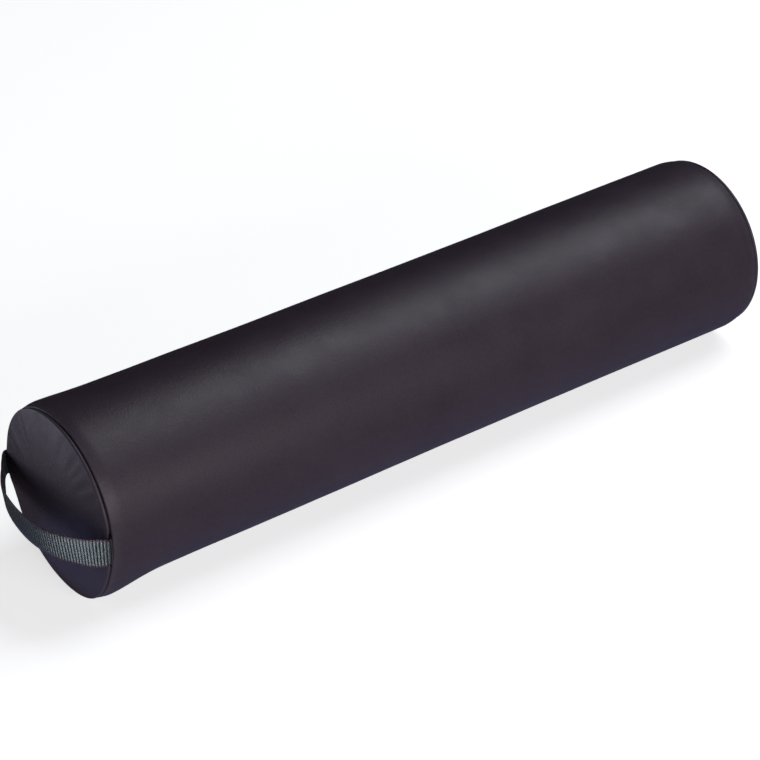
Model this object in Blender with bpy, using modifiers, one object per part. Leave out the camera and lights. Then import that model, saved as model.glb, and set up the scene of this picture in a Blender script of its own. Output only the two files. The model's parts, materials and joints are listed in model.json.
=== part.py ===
"""Round massage bolster: a foam cylinder in a zipped vinyl cover, with a webbing handle across one end.

Frame: the origin lies on the resting face, under the middle of the tube. X runs along the tube, with the
handle at -X. Z is up. The handle is sewn in at -Y and +Y, and the zip runs along the upper back (+Y) side.
All lengths are in metres.
"""

import math

import bmesh
import bpy
from mathutils import Vector

# The tube: a standard 6 by 26 inch bolster, measured over its cover
SEAM_TO_SEAM = 0.660
TUBE_RADIUS = 0.0770
REST_HALF_WIDTH = 0.0136  # half the width of the strip that lies flat on the table
ROUND_STEPS = 72
GAP = 0.0003  # between pieces that touch

# Vinyl cover
VINYL = 0.0012
SEAM_ALLOWANCE = 0.0080  # how far the long panel's ends are turned in, towards the axis
SEAM_WIDTH = 0.0022  # between the turned-in edge and the end panel, where the strap's tails go through
TURN_IN = 0.0013  # from the seam's plane in to the turned-in edge's outer face
FOLD = 0.0012  # the tight fold at the seam
SHOULDER_LENGTH = 0.0100  # where the tube rounds down to its seam
SHOULDER_DROP = 0.0015
END_RADIUS = 0.0743
END_CROWN = 0.0040

# Filling
CORE_RADIUS = 0.0635
CORE_EDGE = 0.0030
WRAP_SLACK = 0.0004  # between the wrap and the cover
WRAP_EDGE = 0.0049

# Handle: 1 inch nylon webbing
STRAP_WIDTH = 0.0254
STRAP_THICKNESS = 0.0016
STRAP_DROP = 0.0035  # the handle sits this far below the tube's axis
STRAP_ANCHOR = 0.0761  # from the axis to the strap's middle, where it leaves the seam
STRAP_START = 0.0042  # the loop starts this far outside the seam
TAIL_WIDTH = 0.0220
TAIL_DEPTH = 0.0096
TAIL_BEND = 0.0012
# The loop's bow: (out from the seam, across the end)
STRAP_BOW = (
    (0.0000, -STRAP_ANCHOR),
    (0.0040, -0.0754),
    (0.0085, -0.0728),
    (0.0175, -0.0645),
    (0.0315, -0.0400),
    (0.0355, -0.0080),
    (0.0295, 0.0300),
    (0.0160, 0.0560),
    (0.0085, 0.0685),
    (0.0040, 0.0742),
    (0.0000, STRAP_ANCHOR),
)

# Zip: a coil zip along the long panel's join
ZIP_ANGLE = math.radians(20)  # above the horizontal, on the back
OPENING_HALF_LENGTH = 0.2900
OPENING_HALF_WIDTH = 0.0050
TAPE_HALF_LENGTH = 0.2980
TAPE_WIDTH = 0.0145
TAPE = 0.0006
SPLIT = 0.0006  # from the zip's middle line to each tape and chain
CHAIN_WIDTH = 0.0020
CHAIN_HEIGHT = 0.0015
CHAIN_HALF_LENGTH = 0.2820
STOP_LENGTH = 0.0025
STITCH_LINE = 0.0080  # from the zip's middle line to its topstitching
THREAD_RADIUS = 0.00025
SEAM_THREAD_RADIUS = 0.0700  # of the round seams' stitch lines
BAR_TACK = 0.0020
CHANNEL_RADIUS = 0.0730  # the bottom of the wrap's channel, from the axis
CHANNEL_HALF_WIDTH = 0.0250
SLIDER_START = 0.2740
SLIDER_LENGTH = 0.0120
SLIDER_WIDTH = 0.0080
SLIDER_PLATE = 0.0010
SLIDER_RIM = 0.0008
SLIDER_POST = 0.0005
SLIDER_SAG = 0.0001  # how far the curved tapes dip within the slider's width
SLIDER_POST_LENGTH = 0.0030
BRIDGE_HALF_LENGTH = 0.0040
BRIDGE_WIDTH = 0.0016
BRIDGE_HEIGHT = 0.0024
BRIDGE_WALL = 0.0010
PULL_LENGTH = 0.0260
PULL_WIDTH = 0.0064
PULL_THICKNESS = 0.0010
PULL_WINDOW = 0.0054  # from the pull's hinge to the far side of its window
PULL_ARM_INSIDE = 0.0014

# Worked out from the sizes above
HALF = SEAM_TO_SEAM / 2
AXIS_HEIGHT = math.sqrt(TUBE_RADIUS**2 - REST_HALF_WIDTH**2)
END_BACK = HALF + SEAM_WIDTH - TURN_IN  # the end panel's back face at its rim
EDGE_BACK = HALF - TURN_IN - VINYL  # the turned-in edge's inner face
HINGE_X = -HALF - STRAP_START - STRAP_WIDTH / 2
TAPE_TOP = TUBE_RADIUS - VINYL - GAP
CHAIN_BASE = TAPE_TOP + GAP
CHAIN_TOP = CHAIN_BASE + CHAIN_HEIGHT
SLIDER_BASE = CHAIN_TOP + GAP
SLIDER_TOP = SLIDER_BASE + SLIDER_PLATE
LOWER_PLATE_TOP = TAPE_TOP - TAPE - GAP - SLIDER_SAG
PULL_AXIS = SLIDER_TOP + GAP + PULL_THICKNESS / 2

# Each material's colour, roughness and metallic value
FINISHES = {
    "vinyl": ((0.040, 0.034, 0.042), 0.42, 0.0),
    "foam": ((0.62, 0.60, 0.52), 0.95, 0.0),
    "wadding": ((0.80, 0.80, 0.78), 0.95, 0.0),
    "webbing": ((0.030, 0.034, 0.036), 0.55, 0.0),
    "tape": ((0.022, 0.020, 0.024), 0.85, 0.0),
    "coil": ((0.020, 0.019, 0.022), 0.40, 0.0),
    "thread": ((0.030, 0.027, 0.033), 0.70, 0.0),
    "zip_metal": ((0.10, 0.10, 0.11), 0.35, 1.0),
}


# ---------- scene and helpers ----------


def clear_scene():
    for obj in list(bpy.data.objects):
        bpy.data.objects.remove(obj, do_unlink=True)


def new_collection(name):
    collection = bpy.data.collections.new(name)
    bpy.context.scene.collection.children.link(collection)
    return collection


def principled(name):
    """The named material, made the first time it is asked for."""
    material = bpy.data.materials.get(name)
    if material is None:
        colour, roughness, metallic = FINISHES[name]
        material = bpy.data.materials.new(name)
        material.use_nodes = True
        shader = material.node_tree.nodes["Principled BSDF"]
        shader.inputs["Base Color"].default_value = (*colour, 1.0)
        shader.inputs["Roughness"].default_value = roughness
        shader.inputs["Metallic"].default_value = metallic
    return material


def add_object(name, data, material, parent):
    obj = bpy.data.objects.new(name, data)
    parts.objects.link(obj)
    data.materials.append(principled(material))
    obj.parent = parent
    return obj


def add_empty(name, parent, location=(0, 0, 0), rotation=(0, 0, 0)):
    empty = bpy.data.objects.new(name, None)
    parts.objects.link(empty)
    empty.parent = parent
    empty.location = location
    empty.rotation_euler = rotation
    return empty


def as_cutter(obj):
    parts.objects.unlink(obj)
    cutters.objects.link(obj)
    obj.hide_render = True
    obj.display_type = "WIRE"
    return obj


def mesh_from(name, bm):
    mesh = bpy.data.meshes.new(name)
    bm.to_mesh(mesh)
    bm.free()
    return mesh


def baked(obj, weld=0.0):
    """Replaces an object by its evaluated mesh, with its faces turned to face out."""
    bpy.context.view_layer.update()
    graph = bpy.context.evaluated_depsgraph_get()
    mesh = bpy.data.meshes.new_from_object(obj.evaluated_get(graph))
    bm = bmesh.new()
    bm.from_mesh(mesh)
    if weld:
        bmesh.ops.remove_doubles(bm, verts=bm.verts, dist=weld)
    bmesh.ops.recalc_face_normals(bm, faces=bm.faces)
    bm.to_mesh(mesh)
    bm.free()
    fresh = bpy.data.objects.new(obj.name, mesh)
    for collection in obj.users_collection:
        collection.objects.link(fresh)
    fresh.parent = obj.parent
    fresh.location = obj.location
    fresh.rotation_euler = obj.rotation_euler
    name = obj.name
    bpy.data.objects.remove(obj, do_unlink=True)
    fresh.name = name
    return fresh


def solidify(obj, thickness):
    modifier = obj.modifiers.new("thickness", "SOLIDIFY")
    modifier.thickness = thickness
    modifier.offset = 0.0
    modifier.use_even_offset = True


def boolean(obj, other, operation):
    modifier = obj.modifiers.new(operation.lower(), "BOOLEAN")
    modifier.operation = operation
    modifier.object = other
    modifier.solver = "EXACT"


def bevel(obj, width, segments=2):
    modifier = obj.modifiers.new("edges", "BEVEL")
    modifier.width = width
    modifier.segments = segments
    modifier.limit_method = "ANGLE"


def smooth(obj):
    obj.data.shade_smooth()
    obj.data.set_sharp_from_angle(angle=math.radians(35))


def turned(name, profile, material, parent, closed=False):
    """A shape turned about the X axis from points of (place along X, radius)."""
    bm = bmesh.new()
    verts = [bm.verts.new((x, 0.0, radius)) for x, radius in profile]
    for first, second in zip(verts, verts[1:]):
        bm.edges.new((first, second))
    if closed:
        bm.edges.new((verts[-1], verts[0]))
    obj = add_object(name, mesh_from(name, bm), material, parent)
    screw = obj.modifiers.new("turn", "SCREW")
    screw.axis = "X"
    screw.steps = ROUND_STEPS
    screw.render_steps = ROUND_STEPS
    screw.use_merge_vertices = True
    screw.merge_threshold = 0.00005
    return baked(obj)


def press_flat(obj, level):
    """Presses the underside flat at this distance below the axis."""
    for vert in obj.data.vertices:
        vert.co.z = max(vert.co.z, -level)


def block(name, low, high, material, parent):
    """A box between two corners."""
    bm = bmesh.new()
    bmesh.ops.create_cube(bm, size=1.0)
    middle = (Vector(low) + Vector(high)) / 2
    size = Vector(high) - Vector(low)
    for vert in bm.verts:
        vert.co = middle + vert.co * size
    return add_object(name, mesh_from(name, bm), material, parent)


def round_bar(name, start, end, radius, material, parent):
    """A round bar between two points."""
    curve = bpy.data.curves.new(name, "CURVE")
    curve.dimensions = "3D"
    curve.bevel_depth = radius
    curve.bevel_resolution = 2
    curve.use_fill_caps = True
    spline = curve.splines.new("POLY")
    spline.points.add(1)
    spline.points[0].co = (*start, 1.0)
    spline.points[1].co = (*end, 1.0)
    bar = baked(add_object(name, curve, material, parent), weld=0.00001)
    smooth(bar)
    return bar


# ---------- filling ----------


def crown_at(radius):
    """How far an end panel stands out from its rim's plane, at this distance from the axis."""
    return END_CROWN * (1 - (radius / END_RADIUS) ** 2)


def make_foam_core(root):
    """A firm foam cylinder whose crowned ends fill the end panels."""
    face = END_BACK - GAP
    rim = face + crown_at(CORE_RADIUS)
    half_profile = [
        (rim - CORE_EDGE, CORE_RADIUS),
        (rim - CORE_EDGE * 0.3, CORE_RADIUS - CORE_EDGE * 0.3),
    ]
    for share in (0.94, 0.75, 0.50, 0.25, 0.0):
        radius = CORE_RADIUS * share
        half_profile.append((face + crown_at(radius), radius))
    other_half = [(-x, radius) for x, radius in reversed(half_profile)]
    smooth(turned("foam_core", other_half + half_profile, "foam", root))


def make_foam_wrap(root, channel):
    """A soft sleeve around the core, with a shallow channel under the zip."""
    outer = TUBE_RADIUS - VINYL - WRAP_SLACK
    end = EDGE_BACK - 2 * GAP - 2 * THREAD_RADIUS
    half_profile = [
        (end - 2.2 * WRAP_EDGE, outer),
        (end - 1.4 * WRAP_EDGE, outer - 0.1 * WRAP_EDGE),
        (end - 0.25 * WRAP_EDGE, outer - 0.4 * WRAP_EDGE),
        (end, outer - WRAP_EDGE),
        (end, CORE_RADIUS + GAP),
    ]
    other_half = [(-x, radius) for x, radius in reversed(half_profile)]
    wrap = turned("foam_wrap", other_half + half_profile, "wadding", root, closed=True)
    press_flat(wrap, AXIS_HEIGHT - VINYL - GAP)
    boolean(wrap, channel, "DIFFERENCE")
    smooth(wrap)


# ---------- cover ----------


def make_cover_tube(root, opening):
    """The long panel rolled into a tube: its ends turned in at the seams, and open along the zip."""
    middle = TUBE_RADIUS - VINYL / 2
    edge_x = EDGE_BACK + VINYL / 2
    fold_radius = middle - SHOULDER_DROP
    half_profile = []
    for share in (1.0, 0.75, 0.5, 0.25, 0.0):
        drop = SHOULDER_DROP * (1 - math.sin(share * math.pi / 2))
        half_profile.append((edge_x - FOLD - share * SHOULDER_LENGTH, middle - drop))
    half_profile += [
        (edge_x - FOLD * 0.3, fold_radius - FOLD * 0.3),
        (edge_x, fold_radius - FOLD),
        (edge_x, fold_radius - SEAM_ALLOWANCE),
    ]
    other_half = [(-x, radius) for x, radius in reversed(half_profile)]
    tube = turned("cover_tube", other_half + half_profile, "vinyl", root)
    press_flat(tube, AXIS_HEIGHT - VINYL / 2)
    solidify(tube, VINYL)
    boolean(tube, opening, "DIFFERENCE")
    smooth(tube)


def make_cover_end(name, side, root):
    """A crowned round end panel."""
    profile = []
    for share in (0.0, 0.2, 0.4, 0.6, 0.8, 0.92, 1.0):
        radius = END_RADIUS * share
        profile.append((side * (END_BACK + VINYL / 2 + crown_at(radius)), radius))
    panel = turned(name, profile, "vinyl", root)
    solidify(panel, VINYL)
    smooth(panel)


def make_seam_thread(name, side, root):
    """A round seam's stitch line: a ring of thread on the inner side of the turned-in edge."""
    bpy.ops.mesh.primitive_torus_add(
        major_radius=SEAM_THREAD_RADIUS,
        minor_radius=THREAD_RADIUS,
        major_segments=ROUND_STEPS,
        minor_segments=6,
    )
    ring = bpy.context.object
    ring.name = name
    for collection in ring.users_collection:
        collection.objects.unlink(ring)
    parts.objects.link(ring)
    ring.data.materials.append(principled("thread"))
    ring.parent = root
    ring.rotation_euler = (0, math.pi / 2, 0)
    ring.location = (side * (EDGE_BACK - GAP - THREAD_RADIUS), 0, 0)
    smooth(ring)


# ---------- handle ----------


def make_strap_tail(name, side, root):
    """A sewn-in end of the strap: flat between the seam's two edges, then bent out past the end panel's rim."""
    inside = -HALF + TURN_IN - GAP - STRAP_THICKNESS / 2
    route = (
        (inside, STRAP_ANCHOR - TAIL_DEPTH),
        (inside, STRAP_ANCHOR - TAIL_BEND),
        (inside - TAIL_BEND * 0.3, STRAP_ANCHOR - TAIL_BEND * 0.3),
        (inside - TAIL_BEND, STRAP_ANCHOR),
        (-HALF - STRAP_START + 2 * GAP, STRAP_ANCHOR - TAIL_BEND * 0.5),
    )
    bm = bmesh.new()
    bottom = [bm.verts.new((x, side * y, -STRAP_DROP - TAIL_WIDTH / 2)) for x, y in route]
    edges = [bm.edges.new(pair) for pair in zip(bottom, bottom[1:])]
    grown = bmesh.ops.extrude_edge_only(bm, edges=edges)["geom"]
    top = [item for item in grown if isinstance(item, bmesh.types.BMVert)]
    bmesh.ops.translate(bm, verts=top, vec=(0, 0, TAIL_WIDTH))
    bmesh.ops.recalc_face_normals(bm, faces=bm.faces)
    tail = add_object(name, mesh_from(name, bm), "webbing", root)
    solidify(tail, STRAP_THICKNESS)


def make_loop_outline(pivot):
    """A prism across the end that trims the loop: half round about the hinge's axis, and open outwards."""
    radius = STRAP_WIDTH / 2 + 0.0001
    outline = [(-0.060, -radius)]
    for step in range(17):
        angle = math.pi * (step / 16 - 0.5)
        outline.append((radius * math.cos(angle), radius * math.sin(angle)))
    outline.append((-0.060, radius))
    bm = bmesh.new()
    face = bm.faces.new([bm.verts.new((x, -0.090, z)) for x, z in outline])
    grown = bmesh.ops.extrude_face_region(bm, geom=[face])["geom"]
    moved = [item for item in grown if isinstance(item, bmesh.types.BMVert)]
    bmesh.ops.translate(bm, verts=moved, vec=(0, 0.180, 0))
    bmesh.ops.recalc_face_normals(bm, faces=bm.faces)
    return as_cutter(add_object("loop_outline", mesh_from("loop_outline", bm), "webbing", pivot))


def make_handle_strap(pivot):
    """The loop of webbing. Its ends are half round about the hinge's axis, so they turn beside the seam."""
    curve = bpy.data.curves.new("handle_strap", "CURVE")
    curve.dimensions = "2D"
    curve.fill_mode = "NONE"
    curve.extrude = STRAP_WIDTH / 2
    curve.resolution_u = 6
    spline = curve.splines.new("BEZIER")
    spline.bezier_points.add(len(STRAP_BOW) - 1)
    for point, (outwards, across) in zip(spline.bezier_points, STRAP_BOW):
        point.co = (-HALF - outwards - HINGE_X, across, 0)
        point.handle_left_type = "AUTO"
        point.handle_right_type = "AUTO"
    strap = baked(add_object("handle_strap", curve, "webbing", pivot), weld=0.00001)
    solidify(strap, STRAP_THICKNESS)
    boolean(strap, make_loop_outline(pivot), "INTERSECT")
    smooth(strap)


# ---------- zip: here Z points out of the tube through the zip, and Y points down along the tube's skin ----------


def make_zip_cutters(zip_frame):
    """The opening in the cover, and the channel in the wrap below it."""
    opening = block(
        "zip_opening",
        (-OPENING_HALF_LENGTH, -OPENING_HALF_WIDTH, CHANNEL_RADIUS),
        (OPENING_HALF_LENGTH, OPENING_HALF_WIDTH, TUBE_RADIUS * 1.1),
        "vinyl",
        zip_frame,
    )
    channel = block(
        "wrap_channel",
        (-TAPE_HALF_LENGTH - 0.002, -CHANNEL_HALF_WIDTH, CHANNEL_RADIUS),
        (TAPE_HALF_LENGTH + 0.002, CHANNEL_HALF_WIDTH, TUBE_RADIUS * 1.1),
        "wadding",
        zip_frame,
    )
    return as_cutter(opening), as_cutter(channel)


def make_zip_tape(name, side, zip_frame):
    """A woven tape that follows the inside of the cover, on one side of the zip."""
    radius = TAPE_TOP - TAPE / 2
    bm = bmesh.new()
    bmesh.ops.create_grid(bm, x_segments=2, y_segments=6, size=0.5)
    for vert in bm.verts:
        along = vert.co.x * 2 * TAPE_HALF_LENGTH
        across = side * (SPLIT + (vert.co.y + 0.5) * TAPE_WIDTH)
        angle = across / radius
        vert.co = (along, radius * math.sin(angle), radius * math.cos(angle))
    bmesh.ops.recalc_face_normals(bm, faces=bm.faces)
    tape = add_object(name, mesh_from(name, bm), "tape", zip_frame)
    solidify(tape, TAPE)
    smooth(tape)


def make_zip_chain(name, side, zip_frame):
    """One half of the coil chain, on its tape's inner edge."""
    edges = sorted((side * SPLIT, side * (SPLIT + CHAIN_WIDTH)))
    chain = block(
        name,
        (-CHAIN_HALF_LENGTH, edges[0], CHAIN_BASE),
        (CHAIN_HALF_LENGTH, edges[1], CHAIN_TOP),
        "coil",
        zip_frame,
    )
    bevel(chain, 0.0004)


def make_top_stop(name, side, zip_frame):
    """The clip that ends one half of the chain, where the zip closes."""
    edges = sorted((side * SPLIT, side * (SPLIT + CHAIN_WIDTH)))
    start = CHAIN_HALF_LENGTH + GAP
    stop = block(
        name,
        (start, edges[0], CHAIN_BASE),
        (start + STOP_LENGTH, edges[1], CHAIN_TOP + GAP),
        "zip_metal",
        zip_frame,
    )
    bevel(stop, 0.0003)


def make_bottom_stop(zip_frame):
    """The clip across both halves, where the zip opens."""
    start = -CHAIN_HALF_LENGTH - GAP
    half_width = SPLIT + CHAIN_WIDTH
    stop = block(
        "zip_bottom_stop",
        (start - STOP_LENGTH, -half_width, CHAIN_BASE),
        (start, half_width, CHAIN_TOP + GAP),
        "zip_metal",
        zip_frame,
    )
    bevel(stop, 0.0003)


def make_zip_thread(name, side, zip_frame):
    """The line of topstitching that holds a tape to the cover."""
    y = side * STITCH_LINE
    z = math.sqrt(TUBE_RADIUS**2 - y**2) + GAP + THREAD_RADIUS
    end = TAPE_HALF_LENGTH - BAR_TACK
    round_bar(name, (-end, y, z), (end, y, z), THREAD_RADIUS, "thread", zip_frame)


def make_bar_tack(name, side, zip_frame):
    """The dense stitches across one end of the opening."""
    start = side * (OPENING_HALF_LENGTH + BAR_TACK / 2)
    along = sorted((start, start + side * BAR_TACK))
    half_width = OPENING_HALF_WIDTH + BAR_TACK / 2
    base = TUBE_RADIUS + GAP
    tack = block(
        name,
        (along[0], -half_width, base),
        (along[1], half_width, base + 2 * THREAD_RADIUS),
        "thread",
        zip_frame,
    )
    bevel(tack, 0.0002, segments=1)


def slider_block(name, half_length, sides, heights, slider_frame, centre=0.0):
    """A block of the slider, between two places across it and two heights."""
    return block(
        name,
        (centre - half_length, sides[0], heights[0]),
        (centre + half_length, sides[1], heights[1]),
        "zip_metal",
        slider_frame,
    )


def make_zip_slider(slider_frame):
    """The slider: two plates joined by a thin post between the chains, rims at its sides, and the pull's bridge."""
    half_length = SLIDER_LENGTH / 2
    half_width = SLIDER_WIDTH / 2
    overlap = 0.0002
    slider = slider_block(
        "zip_slider", half_length, (-half_width, half_width), (SLIDER_BASE, SLIDER_TOP), slider_frame
    )
    additions = [
        slider_block(
            "slider_lower_plate",
            half_length,
            (-half_width, half_width),
            (LOWER_PLATE_TOP - SLIDER_PLATE * 0.9, LOWER_PLATE_TOP),
            slider_frame,
        ),
        slider_block(
            "slider_post",
            SLIDER_POST_LENGTH / 2,
            (-SLIDER_POST / 2, SLIDER_POST / 2),
            (LOWER_PLATE_TOP - overlap, SLIDER_BASE + overlap),
            slider_frame,
            centre=half_length - SLIDER_POST_LENGTH,
        ),
        slider_block(
            "slider_bridge",
            BRIDGE_HALF_LENGTH,
            (-BRIDGE_WIDTH / 2, BRIDGE_WIDTH / 2),
            (SLIDER_TOP - overlap, SLIDER_TOP + BRIDGE_HEIGHT),
            slider_frame,
        ),
    ]
    for side in (-1, 1):
        sides = sorted((side * (half_width - SLIDER_RIM), side * half_width))
        additions.append(
            slider_block(
                f"slider_rim_{side}",
                half_length,
                sides,
                (TAPE_TOP + 2 * GAP, SLIDER_BASE + overlap),
                slider_frame,
            )
        )
    window = slider_block(
        "bridge_window",
        BRIDGE_HALF_LENGTH - BRIDGE_WALL,
        (-BRIDGE_WIDTH, BRIDGE_WIDTH),
        (SLIDER_TOP, SLIDER_TOP + BRIDGE_HEIGHT - BRIDGE_WALL * 0.8),
        slider_frame,
    )
    for addition in additions:
        boolean(slider, as_cutter(addition), "UNION")
    boolean(slider, as_cutter(window), "DIFFERENCE")


def make_zip_pull(pull_frame):
    """The flat pull: a bar under the slider's bridge, two arms and a grip, lying back along the zip."""
    half_width = PULL_WIDTH / 2
    half_thick = PULL_THICKNESS / 2
    bar_radius = half_thick
    pull = block(
        "zip_pull",
        (-PULL_LENGTH, -half_width, -half_thick),
        (0, half_width, half_thick),
        "zip_metal",
        pull_frame,
    )
    window = block(
        "pull_window",
        (-PULL_WINDOW, -PULL_ARM_INSIDE, -PULL_THICKNESS),
        (PULL_THICKNESS, PULL_ARM_INSIDE, PULL_THICKNESS),
        "zip_metal",
        pull_frame,
    )
    bar = round_bar(
        "pull_bar",
        (0, -half_width, 0),
        (0, half_width, 0),
        bar_radius,
        "zip_metal",
        pull_frame,
    )
    boolean(pull, as_cutter(window), "DIFFERENCE")
    boolean(pull, as_cutter(bar), "UNION")


# ---------- the whole bolster ----------


def make_bolster():
    root = add_empty("bolster_axis", None, location=(0, 0, AXIS_HEIGHT))
    zip_frame = add_empty("zip_frame", root, rotation=(ZIP_ANGLE - math.pi / 2, 0, 0))
    opening, channel = make_zip_cutters(zip_frame)

    make_foam_core(root)
    make_foam_wrap(root, channel)
    make_cover_tube(root, opening)
    make_cover_end("cover_end_handle", -1, root)
    make_cover_end("cover_end_plain", 1, root)
    make_seam_thread("seam_thread_handle", -1, root)
    make_seam_thread("seam_thread_plain", 1, root)

    make_strap_tail("strap_tail_front", -1, root)
    make_strap_tail("strap_tail_back", 1, root)
    make_handle_strap(add_empty("handle_hinge", root, location=(HINGE_X, 0, -STRAP_DROP)))

    for name, side in (("upper", -1), ("lower", 1)):
        make_zip_tape(f"zip_tape_{name}", side, zip_frame)
        make_zip_chain(f"zip_coil_{name}", side, zip_frame)
        make_zip_thread(f"zip_thread_{name}", side, zip_frame)
        make_top_stop(f"zip_stop_{name}", side, zip_frame)
    make_bottom_stop(zip_frame)
    make_bar_tack("bar_tack_handle", -1, zip_frame)
    make_bar_tack("bar_tack_plain", 1, zip_frame)
    slider_frame = add_empty("slider_frame", zip_frame, location=(SLIDER_START, 0, 0))
    make_zip_slider(slider_frame)
    make_zip_pull(add_empty("pull_hinge", slider_frame, location=(0, 0, PULL_AXIS)))


clear_scene()
parts = new_collection("bolster_pillow")
cutters = new_collection("cutters")
make_bolster()
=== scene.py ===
"""Looks of the round massage bolster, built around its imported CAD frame.

The cover's three vinyl skins are swollen by cloth simulation; the webbing handle, the zip and the threads
are modelled directly. Everything is in metres, in the frame of the CAD model: X along the tube, Z up.
"""

import json
import math
import random

import bmesh
import bpy
import numpy as np
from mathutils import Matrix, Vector, noise


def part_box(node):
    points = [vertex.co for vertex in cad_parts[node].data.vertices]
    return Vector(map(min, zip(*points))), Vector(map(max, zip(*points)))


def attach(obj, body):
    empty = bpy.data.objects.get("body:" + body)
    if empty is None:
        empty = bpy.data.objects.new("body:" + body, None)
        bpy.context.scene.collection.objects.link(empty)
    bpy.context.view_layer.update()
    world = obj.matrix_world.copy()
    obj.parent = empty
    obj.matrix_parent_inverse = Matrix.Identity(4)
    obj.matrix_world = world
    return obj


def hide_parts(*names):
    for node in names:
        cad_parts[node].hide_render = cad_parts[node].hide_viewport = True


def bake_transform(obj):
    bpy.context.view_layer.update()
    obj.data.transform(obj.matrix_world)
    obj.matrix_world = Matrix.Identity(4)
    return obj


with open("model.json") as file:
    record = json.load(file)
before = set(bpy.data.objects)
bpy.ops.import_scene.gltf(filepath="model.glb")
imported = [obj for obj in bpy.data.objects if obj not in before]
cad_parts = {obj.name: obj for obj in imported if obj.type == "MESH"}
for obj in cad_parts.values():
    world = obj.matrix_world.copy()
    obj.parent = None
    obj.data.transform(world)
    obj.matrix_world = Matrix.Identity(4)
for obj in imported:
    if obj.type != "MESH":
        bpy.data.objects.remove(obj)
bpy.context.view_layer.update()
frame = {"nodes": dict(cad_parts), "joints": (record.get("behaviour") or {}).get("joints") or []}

# ---------- places and sizes read from the frame ----------

END_LOW, END_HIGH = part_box("cover_end_plain")
TUBE_LOW, TUBE_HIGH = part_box("cover_tube")
STRAP_LOW, STRAP_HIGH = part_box("handle_strap")
TAIL_LOW, TAIL_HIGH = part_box("strap_tail_front")
CORE_LOW, CORE_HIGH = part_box("foam_core")
WRAP_LOW, WRAP_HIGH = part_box("foam_wrap")
TACK_LOW, TACK_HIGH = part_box("bar_tack_plain")
RING_LOW, RING_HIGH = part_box("seam_thread_plain")
TAPE_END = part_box("zip_tape_upper")[1].x
CHAIN_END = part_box("zip_coil_upper")[1].x
SLIDER_LOW, SLIDER_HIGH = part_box("zip_slider")
JOINTS = {joint["name"]: joint for joint in frame["joints"]}

AXIS_Z = (END_LOW.z + END_HIGH.z) / 2
AXIS = Vector((0, 0, AXIS_Z))
RADIUS = (TUBE_HIGH.y - TUBE_LOW.y) / 2
EDGE_X = TUBE_HIGH.x  # the outer face of the tube's turned-in edge
SEAM_X = EDGE_X + 0.0013  # the seam's middle plane
END_BACK = END_LOW.x  # the end panel's inner face
REST = AXIS_Z - TUBE_LOW.z  # from the axis down to the flat the bolster lies on
VINYL = 0.0012
TURN = 2 * math.pi

# The zip's own directions: down along the skin, and out of it
DOWN = Vector(JOINTS["pull_flip"]["axis"])
OUT = Vector((1, 0, 0)).cross(DOWN)

rng = random.Random(26)


# ---------- helpers: meshes ----------


def link(obj):
    bpy.context.scene.collection.objects.link(obj)


def add_mesh(name, verts, faces, material=None, smooth=True):
    mesh = bpy.data.meshes.new(name)
    mesh.from_pydata([tuple(v) for v in verts], [], faces)
    mesh.validate()
    obj = bpy.data.objects.new(name, mesh)
    link(obj)
    if material:
        mesh.materials.append(material)
    if smooth:
        mesh.shade_smooth()
    return obj


def set_values(obj, name, values):
    """A number for each point, which a material reads by its name."""
    attribute = obj.data.attributes.new(name, "FLOAT", "POINT")
    attribute.data.foreach_set("value", np.asarray(values, np.float32))


def points_of(mesh):
    found = np.empty(len(mesh.vertices) * 3, np.float32)
    mesh.vertices.foreach_get("co", found)
    return found.reshape(-1, 3).astype(float)


def put_points(mesh, points):
    mesh.vertices.foreach_set("co", np.asarray(points, np.float32).ravel())
    mesh.update()


def grid_faces(rows, columns, closed, keep=None):
    """The quads of a grid of points laid out row by row."""
    faces = []
    for row in range(rows - 1):
        for column in range(columns if closed else columns - 1):
            beside = (column + 1) % columns
            if keep and not keep(row, column):
                continue
            a = row * columns
            b = a + columns
            faces.append((a + column, a + beside, b + beside, b + column))
    return faces


def capped_faces(rows, columns):
    """The faces of a closed skin laid out row by row, with both its ends closed."""
    last = (rows - 1) * columns
    faces = grid_faces(rows, columns, True)
    faces.append(tuple(range(columns)))
    faces.append(tuple(last + i for i in reversed(range(columns))))
    return faces


def distances(route):
    """How far along the route each of its points is."""
    return np.concatenate([[0], np.cumsum(np.linalg.norm(np.diff(route, axis=0), axis=1))])


def drop_loose(obj):
    bm = bmesh.new()
    bm.from_mesh(obj.data)
    loose = [v for v in bm.verts if not v.link_faces]
    bmesh.ops.delete(bm, geom=loose, context="VERTS")
    bm.to_mesh(obj.data)
    bm.free()


def apply_modifiers(obj):
    """Swaps the object's mesh for its evaluated one, so that no modifier is left on it."""
    graph = bpy.context.evaluated_depsgraph_get()
    graph.update()
    evaluated = obj.evaluated_get(graph)
    mesh = bpy.data.meshes.new_from_object(evaluated, preserve_all_data_layers=True, depsgraph=graph)
    obj.modifiers.clear()
    old = obj.data
    obj.data = mesh
    mesh.name = obj.name
    bpy.data.meshes.remove(old)


def subdivide(obj, levels=1):
    modifier = obj.modifiers.new("smooth", "SUBSURF")
    modifier.levels = levels
    modifier.render_levels = levels
    apply_modifiers(obj)


def thicken(obj, thickness):
    """Grows the skin inwards."""
    modifier = obj.modifiers.new("thickness", "SOLIDIFY")
    modifier.thickness = thickness
    modifier.offset = -1.0
    modifier.use_even_offset = False
    apply_modifiers(obj)


def bevel(obj, width, segments=3):
    modifier = obj.modifiers.new("edges", "BEVEL")
    modifier.width = width
    modifier.segments = segments
    modifier.limit_method = "ANGLE"
    modifier.angle_limit = math.radians(40)
    apply_modifiers(obj)
    obj.data.shade_smooth()
    obj.data.set_sharp_from_angle(angle=math.radians(45))


def smoothstep(low, high, value):
    t = np.clip((np.asarray(value, float) - low) / (high - low), 0, 1)
    return t * t * (3 - 2 * t)


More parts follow.
